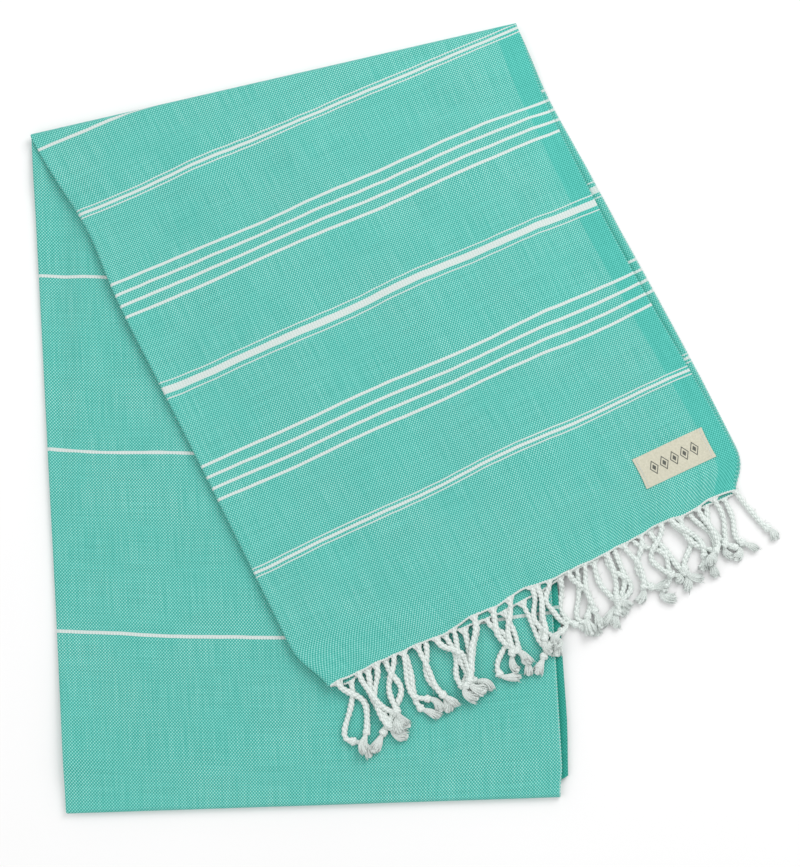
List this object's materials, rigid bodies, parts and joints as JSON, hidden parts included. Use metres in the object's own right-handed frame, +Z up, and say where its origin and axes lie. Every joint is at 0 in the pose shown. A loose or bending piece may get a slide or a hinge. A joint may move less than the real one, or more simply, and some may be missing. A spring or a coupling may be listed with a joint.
{
  "type": "bath towel",
  "caption": "Flat-woven cotton bath towel with pale stripes and knotted fringes, folded into a flat stack with a slanting front flap that folds open.",
  "frame": {"origin": "middle of the underside of the folded towel, on the surface that it lies on", "axes": "+X to the right and +Y from the bottom fold towards the slanting top fold, seen from above with the label readable; +Z up out of the stack"},
  "size_m": [0.7162, 0.763, 0.0191],
  "materials": {
    "teal_cotton": "matt flat-woven cotton with white flecks and white weft stripes",
    "white_cotton": "matt twisted cotton yarn",
    "label_tape": "smooth woven tape",
    "label_thread": "matt sewing thread"
  },
  "bodies": {
    "tucked_section": {"tucked_under_layer": "teal_cotton", "tucked_upper_layer": "teal_cotton", "tucked_side_fold": "teal_cotton", "tucked_fringe": "white_cotton", "bottom_fold": "teal_cotton"},
    "back_section": {"back_under_layer": "teal_cotton", "back_upper_layer": "teal_cotton", "back_side_fold": "teal_cotton", "top_fold": "teal_cotton"},
    "flap_section": {"flap_under_layer": "teal_cotton", "flap_upper_layer": "teal_cotton", "flap_side_fold": "teal_cotton", "hem_lock_under": "white_cotton", "hem_lock_upper": "white_cotton", "label": "label_tape", "label_stitch_left": "label_thread", "label_stitch_right": "label_thread", "tassel_under_01": "white_cotton", "tassel_under_02": "white_cotton", "tassel_under_03": "white_cotton", "tassel_under_04": "white_cotton", "tassel_under_05": "white_cotton", "tassel_under_06": "white_cotton", "tassel_under_07": "white_cotton", "tassel_under_08": "white_cotton", "tassel_under_09": "white_cotton", "tassel_under_10": "white_cotton", "tassel_under_11": "white_cotton", "tassel_under_12": "white_cotton", "tassel_under_13": "white_cotton", "tassel_under_14": "white_cotton", "tassel_under_15": "white_cotton", "tassel_under_16": "white_cotton", "tassel_under_17": "white_cotton", "tassel_under_18": "white_cotton", "tassel_under_19": "white_cotton", "tassel_under_20": "white_cotton", "tassel_under_21": "white_cotton", "tassel_upper_01": "white_cotton", "tassel_upper_02": "white_cotton", "tassel_upper_03": "white_cotton", "tassel_upper_04": "white_cotton", "tassel_upper_05": "white_cotton", "tassel_upper_06": "white_cotton", "tassel_upper_07": "white_cotton", "tassel_upper_08": "white_cotton", "tassel_upper_09": "white_cotton", "tassel_upper_10": "white_cotton", "tassel_upper_11": "white_cotton", "tassel_upper_12": "white_cotton", "tassel_upper_13": "white_cotton", "tassel_upper_14": "white_cotton", "tassel_upper_15": "white_cotton", "tassel_upper_16": "white_cotton", "tassel_upper_17": "white_cotton", "tassel_upper_18": "white_cotton", "tassel_upper_19": "white_cotton", "tassel_upper_20": "white_cotton", "tassel_upper_21": "white_cotton", "tassel_upper_22": "white_cotton"}
  },
  "joints": [
    {"name": "bottom_fold_opening", "type": "hinge", "parent": "tucked_section", "child": "back_section", "pos_m": [-0.07221, -0.37055, 0.00345], "axis": [0.9995, 0.0326, 0], "range_deg": [0, 170]},
    {"name": "top_fold_opening", "type": "hinge", "parent": "back_section", "child": "flap_section", "pos_m": [-0.12079, 0.32065, 0.00705], "axis": [-0.9717, -0.2363, 0], "range_deg": [0, 178]}
  ]
}
